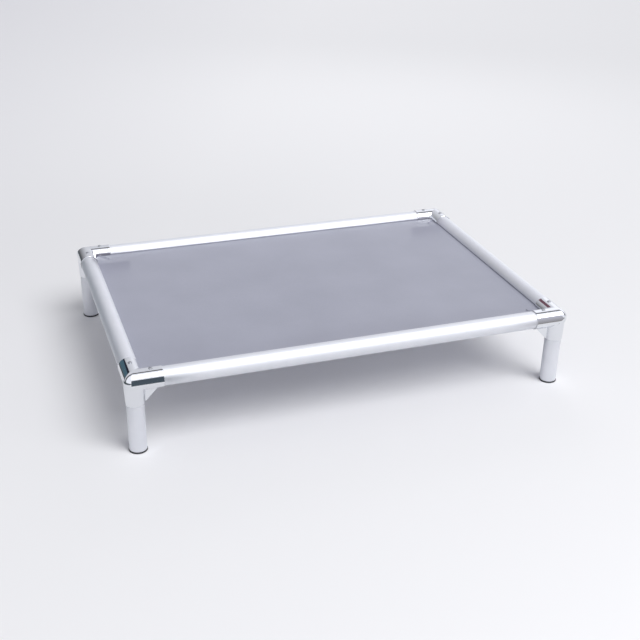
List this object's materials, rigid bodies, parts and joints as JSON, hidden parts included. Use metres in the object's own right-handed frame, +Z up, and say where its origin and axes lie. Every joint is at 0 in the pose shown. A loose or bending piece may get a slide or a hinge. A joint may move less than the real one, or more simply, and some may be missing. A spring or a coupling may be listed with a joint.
{
  "type": "raised dog bed",
  "caption": "Raised dog bed: grey coated cloth stretched flat in a frame of round aluminium rails, with polished corner castings, tube legs and black rubber feet.",
  "frame": {"origin": "centre of the bed's footprint, at the floor under the feet", "axes": "+X along the long side, +Y along the short side from front to back, +Z up"},
  "size_m": [0.958, 0.665, 0.1788],
  "materials": {
    "polished_casting": "polished",
    "anodised_tube": "satin anodised",
    "coated_cloth": "matte coated weave",
    "black_rubber": "moulded",
    "rod_plastic": "extruded",
    "screw_steel": "zinc plated"
  },
  "bodies": {
    "root": {"front_left_corner": "polished_casting", "front_right_corner": "polished_casting", "back_right_corner": "polished_casting", "back_left_corner": "polished_casting", "front_left_leg": "anodised_tube", "front_right_leg": "anodised_tube", "back_right_leg": "anodised_tube", "back_left_leg": "anodised_tube", "front_left_foot": "black_rubber", "front_right_foot": "black_rubber", "back_right_foot": "black_rubber", "back_left_foot": "black_rubber", "front_rail": "anodised_tube", "right_rail": "anodised_tube", "back_rail": "anodised_tube", "left_rail": "anodised_tube", "front_edge_rod": "rod_plastic", "right_edge_rod": "rod_plastic", "back_edge_rod": "rod_plastic", "left_edge_rod": "rod_plastic", "cloth": "coated_cloth", "front_rail_screw_front_left": "screw_steel", "left_rail_screw_front_left": "screw_steel", "front_left_leg_screw": "screw_steel", "right_rail_screw_front_right": "screw_steel", "front_rail_screw_front_right": "screw_steel", "front_right_leg_screw": "screw_steel", "back_rail_screw_back_right": "screw_steel", "right_rail_screw_back_right": "screw_steel", "back_right_leg_screw": "screw_steel", "left_rail_screw_back_left": "screw_steel", "back_rail_screw_back_left": "screw_steel", "back_left_leg_screw": "screw_steel"}
  },
  "joints": []
}
